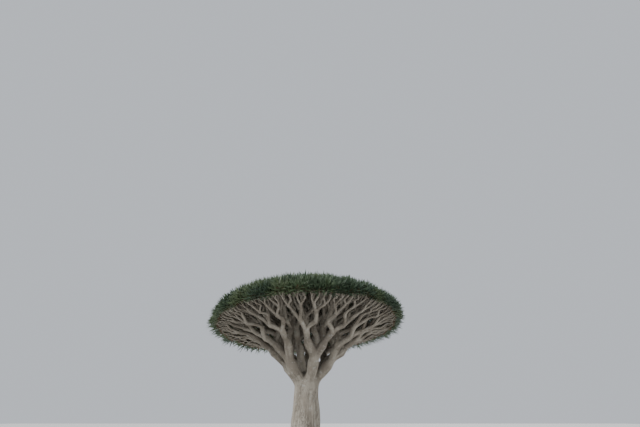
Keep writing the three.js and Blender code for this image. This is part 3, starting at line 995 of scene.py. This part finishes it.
@dataclass
class TrunkAndBoughs:
    """The trunk with its root flare, and the boughs, branches and leaders that rise from it.

    The flank is the trunk's radius at levels from the ground to the top of its head.
    """

    growth: Growth
    tracing: Tracing
    flank: tuple[tuple[float, float], ...] = (
        (0.560, 0.0), (0.450, 0.330), (0.378, 1.350), (0.338, 1.850),
        (0.345, 2.150), (0.276, 2.330), (0.12, 2.4),
    )
    flare_level: float = 0.33
    root_lobes: int = 7
    root_depth: float = 0.1
    flutes: int = 11
    flute_depth: float = 0.02
    flute_sway: float = 2
    flute_rise: float = 1.85
    sides: int = 72
    steps: int = 60
    axis_steps: int = 40
    below: float = 0.06
    voxel: float = 0.016
    soften_factor: float = 0.5
    soften_rounds: int = 7
    bough_sides: int = 20
    bough_steps: int = 14
    bough_slimness: float = 0.35
    branch_slimness: float = 0.5
    rough_girth: float = 0.3
    lumps: float = 0.022
    lump_grain: float = 3.1
    furrows: float = 0.008
    furrow_grain: Triple = (16, 16, 2.4)
    rings: float = 0.0012
    ring_pitch: float = 70
    ring_bend: float = 3
    ring_bend_grain: float = 6
    smooth_foot: float = 0.004
    samples: int = 60
    joint_reach: float = 0.05
    pattern_shift: float = 3.7
    name: str = "trunk_and_boughs"

    def trunk_rings(self) -> np.ndarray:
        """Give the trunk's rings, from just below the ground to its head.

        Returns:
            The points, by ring and side.
        """
        profile = spline(np.array(self.flank), self.steps)
        profile = np.vstack([[profile[0][0], -self.below], profile])
        turn = np.arange(self.sides) / self.sides * FULL_TURN
        level = np.maximum(profile[:, 1], 0)[:, None]
        lobes = self.root_depth * np.exp(-level / self.flare_level)
        lobes = lobes * np.cos(self.root_lobes * turn + np.sin(turn))[None]
        sway = self.flute_sway * np.sin(2 * turn[None] + level / self.flute_rise)
        flutes = self.flute_depth * np.cos(self.flutes * turn[None] + sway)
        radius = profile[:, :1] * (1 + lobes + flutes)
        up = np.repeat(profile[:, 1:], self.sides, axis=1)
        return np.stack([radius * np.cos(turn), radius * np.sin(turn), up], axis=2)

    def paths(self) -> list[tuple[LimbPath, float]]:
        """Give the line and the slimness of the trunk and of each limb that this piece holds.

        Returns:
            Pairs of a line and its slimness, the trunk's first.
        """
        profile = spline(np.array(self.flank), self.axis_steps)
        axis = profile[:, 1:] * np.array([[0, 0, 1]])
        paths = [(LimbPath(axis, profile[:, 0]), 0.0)]
        for limb in self.growth.boughs.values():
            is_bough = limb.tips > self.growth.tips_per_mass * 2
            slim = self.bough_slimness if is_bough else self.branch_slimness
            paths.append((self.tracing.path(limb, self.bough_steps), slim))
        return paths

    def rough_skin(self) -> Piece:
        """Give the trunk and limbs as separate closed tubes in one object.

        Returns:
            The object.
        """
        skin = Skin()
        rings = self.trunk_rings()
        skin.add_rings(rings, rings, 0)
        for path, slim in self.paths()[1:]:
            skin.add_limb(path, self.bough_sides, slim)
        return placed("rough_skin", skin.mesh("rough_skin"))

    def fused(self) -> Piece:
        """Fuse the tubes in one skin and smooth the crotches between them.

        Returns:
            The skin as an object.
        """
        rough = self.rough_skin()
        remesh = rough.modifiers.new("fuse", "REMESH")
        remesh.mode = "VOXEL"
        remesh.voxel_size = self.voxel
        smooth = rough.modifiers.new("soften", "SMOOTH")
        smooth.factor = self.soften_factor
        smooth.iterations = self.soften_rounds
        return settled(rough, self.name)

    def cut_at_ground(self, mesh: Mesh) -> None:
        """Cut the skin flat at ground level.

        Args:
            mesh: The skin, which is changed.
        """
        shape = bmesh.new()
        shape.from_mesh(mesh)
        everything = [*shape.verts, *shape.edges, *shape.faces]
        cut = bmesh.ops.bisect_plane(
            shape, geom=everything, plane_co=(0, 0, 0), plane_no=(0, 0, -1), clear_outer=True
        )
        rim = [part for part in cut["geom_cut"] if isinstance(part, bmesh.types.BMEdge)]
        bmesh.ops.triangle_fill(shape, edges=rim, use_beauty=True)
        bmesh.ops.recalc_face_normals(shape, faces=shape.faces)
        shape.to_mesh(mesh)
        shape.free()

    def bark_map(self, points: np.ndarray) -> BarkMap:
        """Find the nearest limb of each point of the skin.

        Args:
            points: The points, one in each row.

        Returns:
            What each point knows of its nearest limb.
        """
        everything = np.arange(len(points))
        nearest = np.full(len(points), np.inf)
        second = nearest.copy()
        girth = np.zeros(len(points))
        space = np.zeros(points.shape)
        slimness = np.zeros(len(points))
        for index, (path, slim) in enumerate(self.paths()):
            radii = spline(path.radii[:, None], self.samples)[:, 0]
            line = LimbPath(spline(path.points, self.samples), radii)
            along, across, third = line.frames()
            own_squares = (points**2).sum(1)[:, None] + (line.points**2).sum(1)[None]
            gaps = np.sqrt(np.maximum(own_squares - 2 * points @ line.points.T, 0)) - radii[None]
            at = gaps.argmin(1)
            gap = gaps[everything, at]
            closer = gap < nearest
            second = np.where(closer, nearest, np.minimum(second, gap))
            off = points - line.points[at]
            run = line.run()[at] + (off * along[at]).sum(1) + index * self.pattern_shift
            local = np.stack([(off * across[at]).sum(1), (off * third[at]).sum(1), run], axis=1)
            space[closer] = local[closer]
            nearest[closer] = gap[closer]
            girth[closer] = radii[at][closer]
            slimness[closer] = slim
        clearness = np.clip((second - nearest) / self.joint_reach, 0, 1)
        return BarkMap(space, slimness, girth, clearness)

    def relief(self, mesh: Mesh) -> None:
        """Raise lumps, furrows and rings on the skin and write the bark's own space on it.

        Args:
            mesh: The skin, which is changed.
        """
        points = read_vectors(mesh.vertices, "co")
        points[:, 2] = np.maximum(points[:, 2], 0)
        normals = read_vectors(mesh.vertex_normals, "vector")
        bark = self.bark_map(points)
        scale = np.minimum(1.0, bark.girth / self.rough_girth)
        furrows = noise_at(bark.space * self.furrow_grain)
        bends = self.ring_bend * noise_at(points * self.ring_bend_grain)
        rings = np.sin(bark.space[:, 2] * self.ring_pitch + bends)
        raised = scale * self.furrows * furrows + (1 - scale) * self.rings * rings
        raised = self.lumps * noise_at(points * self.lump_grain) * scale + raised * bark.clearness
        raised[points[:, 2] < self.smooth_foot] = 0
        mesh.vertices.foreach_set("co", (points + normals * raised[:, None]).ravel())
        write_bark(mesh, bark.space, bark.slimness, bark.clearness)

    def build(self, bark: Material) -> Piece:
        """Build and dress the piece.

        Args:
            bark: The bark's material.

        Returns:
            The piece.
        """
        piece = self.fused()
        mesh = piece.data
        self.cut_at_ground(mesh)
        self.relief(mesh)
        mesh.materials.clear()
        mesh.materials.append(bark)
        mesh.update()
        return stand_in(piece, ("trunk", *self.growth.boughs))


@dataclass
class TwigWork:
    """The stems and twigs of some masses of foliage, in one mesh.

    A grade pairs the least number of tips that a twig carries with its count of sides or of steps.
    """

    masses: list[Mass]
    tracing: Tracing
    name: str
    stem_tips: int = 64
    stem_slimness: float = 0.6
    side_grades: tuple[tuple[int, int], ...] = ((64, 12), (16, 9), (2, 6), (1, 5))
    step_grades: tuple[tuple[int, int], ...] = ((32, 10), (8, 7), (2, 5), (1, 4))

    def graded(self, grades: tuple[tuple[int, int], ...], tips: int) -> int:
        """Give the count of the first grade that a number of tips reaches."""
        return next(count for least, count in grades if tips >= least)

    def build(self, bark: Material) -> Piece:
        """Build and dress the piece.

        Args:
            bark: The bark's material.

        Returns:
            The piece.
        """
        skin = Skin()
        for mass in self.masses:
            for limb in mass.limbs:
                fineness = 1 - math.log2(limb.tips + 1) / math.log2(self.stem_tips + 1)
                slim = self.stem_slimness + (1 - self.stem_slimness) * fineness
                path = self.tracing.path(limb, self.graded(self.step_grades, limb.tips))
                skin.add_limb(path, self.graded(self.side_grades, limb.tips), slim)
        piece = placed(self.name, skin.mesh(self.name))
        piece.data.materials.append(bark)
        return stand_in(piece, (mass.name for mass in self.masses))


@dataclass(frozen=True)
class RosetteForm:
    """One form of rosette: stiff sword leaves that stand up in the middle and spread outside.

    Its +X side is to face up. The leaves of the lower side are raised towards the light, and shorter.
    The outline pairs shares of a leaf's length with shares of its width.
    """

    seed: int
    leaves: int = 23
    shortest: float = 0.2
    longest: float = 0.345
    full_length_age: float = 0.625
    length_wander: float = 0.2
    width: float = 0.027
    keel: float = 0.005
    outline: tuple[tuple[float, float], ...] = ((0.0, 0.85), (0.17, 1.0), (0.64, 0.8))
    first_lean: float = math.radians(6)
    last_lean: float = math.radians(90)
    lean_power: float = 0.72
    lean_wander: float = 0.22
    turn_wander: float = 0.35
    raised: float = 0.42
    stunted: float = 0.25
    bend: float = math.radians(12)
    bend_wander: float = 0.12
    core: float = 0.018
    core_height: float = 0.09
    numbers_apart: int = 1009

    def leaf_points(self, k: int) -> np.ndarray:
        """Give the rings of one leaf, three points in each, and its tip.

        Args:
            k: The leaf's number, from the middle of the rosette outwards.

        Returns:
            The nine points of its three rings and the tip.
        """
        age = k / (self.leaves - 1)
        number = self.seed * self.numbers_apart + k
        turn = k * GOLDEN_TURN + wander(number, LeafDraw.TURN, self.turn_wander)
        low = age * (1 - math.cos(turn)) / 2
        lean = blend(self.first_lean, self.last_lean, age**self.lean_power) * (1 - self.raised * low)
        lean += wander(number, LeafDraw.LEAN, self.lean_wander)
        length = blend(self.shortest, self.longest, min(1.0, age / self.full_length_age))
        length *= 1 + wander(number, LeafDraw.LENGTH, self.length_wander)
        length *= 1 - self.stunted * low
        out = np.array([math.cos(turn), math.sin(turn), 0])
        side = np.array([-math.sin(turn), math.cos(turn), 0])
        up = np.array([0, 0, 1.0])
        centre = out * self.core + up * blend(self.core_height, 0, age)
        points = []
        for share, wide in self.outline:
            stray = wander(number, LeafDraw.BEND, self.bend_wander)
            angle = lean + self.bend * age * share + stray * share
            way = up * math.cos(angle) + out * math.sin(angle)
            top = up * math.sin(angle) - out * math.cos(angle)
            here = centre + way * (length * share)
            half = self.width / 2 * wide
            points.extend([here - side * half, here + side * half, here - top * self.keel * wide])
        angle = lean + self.bend * age
        points.append(centre + (up * math.cos(angle) + out * math.sin(angle)) * length)
        return np.array(points)

    def build(self) -> Piece:
        """Build the form as an object with a mark on the faces of each leaf's base.

        Returns:
            The object.
        """
        points = []
        faces = []
        based = []
        for k in range(self.leaves):
            first = len(points)
            points.extend(self.leaf_points(k).tolist())
            faces.append((first, first + 1, first + 2))
            for side in range(3):
                onward = (side + 1) % 3
                for low in (first, first + 3):
                    faces.append((low + onward, low + side, low + 3 + side, low + 3 + onward))
                faces.append((first + 6 + onward, first + 6 + side, first + 9))
            based.extend([True, *(True, False, False) * 3])
        mesh = bpy.data.meshes.new(f"rosette_form_{self.seed}")
        mesh.from_pydata(points, [], faces)
        mark = mesh.attributes.new("leaf_base", "BOOLEAN", "FACE")
        mark.data.foreach_set("value", based)
        mesh.update()
        return placed(mesh.name, mesh)


@dataclass(frozen=True)
class SpreadKit(NodeKit):
    """Adds the geometry nodes that set rosettes on tips."""

    def named(self, name: str, kind: str) -> Socket:
        """Read a named attribute."""
        return self.node("GeometryNodeInputNamedAttribute", {"Name": name}, "Attribute", data_type=kind)

    def facing(self, axis: str, **feeds: Feed) -> Socket:
        """Turn an axis towards a vector; with a rotation given, X turns about its Z."""
        pivot = "Z" if "Rotation" in feeds else "AUTO"
        return self.node("FunctionNodeAlignRotationToVector", feeds, axis=axis, pivot_axis=pivot)

    def random(self, low: Feed, high: Feed, seed: Socket) -> Socket:
        """Give each point a random number."""
        return self.node("FunctionNodeRandomValue", {2: low, 3: high, "Seed": seed}, 1, data_type="FLOAT")

    def coloured(self, flow: Socket, chosen: Socket, material: Material) -> Socket:
        """Set the material of chosen faces and give the geometry."""
        feeds = {"Geometry": flow, "Selection": chosen, "Material": material}
        return self.node("GeometryNodeSetMaterial", feeds)


@dataclass
class Foliage:
    """The rosettes of some masses, set on their twigs' tips by a tree of geometry nodes."""

    masses: list[Mass]
    crown: CrownRule
    name: str
    size: float = 1.0
    size_spread: float = 0.1
    twig_pull: float = 0.4
    stray: float = 0.4
    roll: float = math.radians(35)
    rosettes_of_one_green: int = 4
    spin_seed: int = 7

    def tips(self, forms: int, greens: int) -> Piece:
        """Give the tips as points that know their way, form and green.

        Args:
            forms: How many forms of rosette there are.
            greens: How many greens there are.

        Returns:
            The points as an object.
        """
        twigs = [twig for mass in self.masses for twig in mass.last_twigs()]
        points = np.array([self.crown.point(twig.end) for twig in twigs])
        starts = np.array([self.crown.point(twig.start) for twig in twigs])
        outward = np.array([self.crown.outward(twig.end) for twig in twigs])
        draws = (Draw.STRAY_X, Draw.STRAY_Y, Draw.STRAY_Z)
        astray = np.array([[wander(twig.seed, draw, self.stray) for draw in draws] for twig in twigs])
        facing = unit(outward + unit(points - starts) * self.twig_pull + astray)
        form = [int(chance(twig.seed, Draw.FORM) * forms) for twig in twigs]
        sprays = [twig.seed // self.rosettes_of_one_green for twig in twigs]
        green = [int(chance(spray, Draw.GREEN) * greens) for spray in sprays]
        mesh = bpy.data.meshes.new("tips")
        mesh.from_pydata(points.tolist(), [], [])
        write_attribute(mesh, "facing", facing)
        write_attribute(mesh, "form", np.array(form), "INT")
        write_attribute(mesh, "green", np.array(green), "INT")
        return placed(f"{self.name}_tips", mesh)

    def spread_tree(self, forms: Iterable[Piece], materials: Sequence[Material]) -> bpy.types.NodeTree:
        """Make the nodes that set a rosette on each tip, turned at random, and colour it.

        Args:
            forms: The forms of rosette to choose from.
            materials: The greens, and the leaf base's material last.

        Returns:
            The node tree, with the inputs Rosette size, Size spread and Spin seed.
        """
        tree = bpy.data.node_groups.new("rosettes_on_tips", "GeometryNodeTree")
        inputs = {"Geometry": "Geometry", "Rosette size": "Float", "Size spread": "Float", "Spin seed": "Int"}
        for name, kind in inputs.items():
            tree.interface.new_socket(name, in_out="INPUT", socket_type=f"NodeSocket{kind}")
        tree.interface.new_socket("Geometry", in_out="OUTPUT", socket_type="NodeSocketGeometry")
        kit = SpreadKit(tree)
        tips, rosette_size, size_spread, spin_seed = list(tree.nodes.new("NodeGroupInput").outputs)[:4]

        way = kit.facing("Z", Vector=kit.named("facing", "FLOAT_VECTOR"))
        upright = kit.facing("X", Rotation=way, Vector=(0, 0, 1))
        spin = kit.random(-self.roll, self.roll, spin_seed)
        about = kit.node("FunctionNodeAxisAngleToRotation", {"Axis": (0, 0, 1), "Angle": spin})
        feeds = {"Rotation": upright, "Rotate By": about}
        turned = kit.node("FunctionNodeRotateRotation", feeds, rotation_space="LOCAL")
        least, most = (kit.maths(action, rosette_size, size_spread) for action in ("SUBTRACT", "ADD"))

        shapes = [kit.node("GeometryNodeObjectInfo", {"Object": form, "As Instance": True}, "Geometry")
                  for form in forms]
        spread = kit.node("GeometryNodeInstanceOnPoints", {
            "Points": tips,
            "Instance": kit.node("GeometryNodeJoinGeometry", {"Geometry": shapes}),
            "Pick Instance": True,
            "Instance Index": kit.named("form", "INT"),
            "Rotation": turned,
            "Scale": kit.random(least, most, spin_seed),
        })
        flow = kit.node("GeometryNodeRealizeInstances", {"Geometry": spread})

        green = kit.named("green", "INT")
        for k, material in enumerate(materials[:-1]):
            feeds = {2: green, 3: k}
            same = kit.node("FunctionNodeCompare", feeds, "Result", data_type="INT", operation="EQUAL")
            flow = kit.coloured(flow, same, material)
        flow = kit.coloured(flow, kit.named("leaf_base", "BOOLEAN"), materials[-1])
        kit.feed(tree.nodes.new("NodeGroupOutput").inputs["Geometry"], flow)
        return tree

    def build(self, forms: Sequence[Piece], materials: Sequence[Material]) -> Piece:
        """Build and dress the piece.

        Args:
            forms: The forms of rosette.
            materials: The greens, and the leaf base's material last.

        Returns:
            The piece.
        """
        tips = self.tips(len(forms), len(materials) - 1)
        modifier = tips.modifiers.new("rosettes", "NODES")
        modifier.node_group = self.spread_tree(forms, materials)
        given = {"Rosette size": self.size, "Size spread": self.size_spread, "Spin seed": self.spin_seed}
        for socket in modifier.node_group.interface.items_tree:
            if socket.in_out == "INPUT" and socket.name in given:
                modifier[socket.identifier] = given[socket.name]
        piece = settled(tips, self.name)
        for extra in ("facing", "form", "green", "leaf_base"):
            if extra in piece.data.attributes:
                piece.data.attributes.remove(piece.data.attributes[extra])
        return stand_in(piece, (mass.name for mass in self.masses))


@dataclass
class Studio:
    """The pale floor, the soft light and the camera, which looks up at the crown.

    A lamp has a name, a place and its light in watts for each square metre.
    """

    camera_place: Triple = (0.385, -9.47, 1.375)
    camera_pitch: float = math.radians(35.31)
    lens_mm: float = 16
    sensor_mm: float = 36
    view_reach: float = 500
    floor_reach: float = 60
    floor_colour: Triple = (0.72, 0.71, 0.69)
    floor_roughness: float = 0.9
    sky: Triple = (0.72, 0.76, 0.82)
    sky_strength: float = 0.85
    lamps: tuple[tuple[str, Triple, float], ...] = (
        ("key", (-13, -7, 11), 3.0),
        ("fill", (11, -9, 4), 1.1),
        ("back", (4, 12, 8), 1.3),
    )
    lamp_aim: Triple = (0, 0, 3.5)
    lamp_breadth: float = math.radians(24)

    def camera(self) -> None:
        """Set up the camera."""
        data = bpy.data.cameras.new("view")
        data.lens = self.lens_mm
        data.sensor_width = self.sensor_mm
        data.clip_end = self.view_reach
        camera = placed("view", data)
        camera.location = self.camera_place
        camera.rotation_euler = (math.pi / 2 + self.camera_pitch, 0, 0)
        bpy.context.scene.camera = camera

    def floor(self) -> None:
        """Lay the pale floor."""
        reach = self.floor_reach
        mesh = bpy.data.meshes.new("floor")
        corners = [(-reach, -reach, 0), (reach, -reach, 0), (reach, reach, 0), (-reach, reach, 0)]
        mesh.from_pydata(corners, [], [(0, 1, 2, 3)])
        kit = ShaderKit.for_new("pale_floor")
        mesh.materials.append(kit.finish(Base_Color=self.floor_colour, Roughness=self.floor_roughness))
        placed("floor", mesh)

    def lamp(self, name: str, place: Triple, strength: float) -> None:
        """Hang a broad, distant lamp that faces the crown, so that it lights the floor evenly.

        Args:
            name: Its name.
            place: Where it hangs.
            strength: Its light in watts for each square metre.
        """
        data = bpy.data.lights.new(name, "SUN")
        data.energy = strength
        data.angle = self.lamp_breadth
        lamp = placed(name, data)
        lamp.location = place
        lamp.rotation_euler = (Vector(self.lamp_aim) - Vector(place)).to_track_quat("-Z", "Y").to_euler()

    def build(self) -> None:
        """Build the studio."""
        self.camera()
        self.floor()
        for lamp in self.lamps:
            self.lamp(*lamp)
        world = bpy.data.worlds.new("studio")
        world.use_nodes = True
        background = world.node_tree.nodes["Background"]
        background.inputs["Color"].default_value = (*self.sky, 1)
        background.inputs["Strength"].default_value = self.sky_strength
        bpy.context.scene.world = world


def triangles(piece: Piece) -> int:
    """Count the triangles of a piece."""
    return sum(len(face.vertices) - 2 for face in piece.data.polygons)


def main() -> None:
    """Load the frame, build each piece and report it."""
    logging.basicConfig(level=logging.INFO, format="%(message)s")
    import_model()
    growth = Growth().grow()
    tracing = Tracing(growth.crown, PipeRule())
    Studio().build()

    bark = BarkFinish().material()
    leaf_materials = LeafFinish().materials()
    pieces = [TrunkAndBoughs(growth, tracing).build(bark)]
    forms = [RosetteForm(seed).build() for seed in range(ROSETTE_FORMS)]
    for k, masses in enumerate(growth.sectors):
        part = f"sector_{k + 1}" if k < growth.outer_boughs else "crown_top"
        pieces.append(TwigWork(masses, tracing, f"twigs_{part}").build(bark))
        pieces.append(Foliage(masses, growth.crown, f"leaves_{part}").build(forms, leaf_materials))
    for form in forms:
        bpy.data.objects.remove(form)
    for piece in pieces:
        LOG.info("%s: %d triangles", piece.name, triangles(piece))


if __name__ == "__main__":
    main()
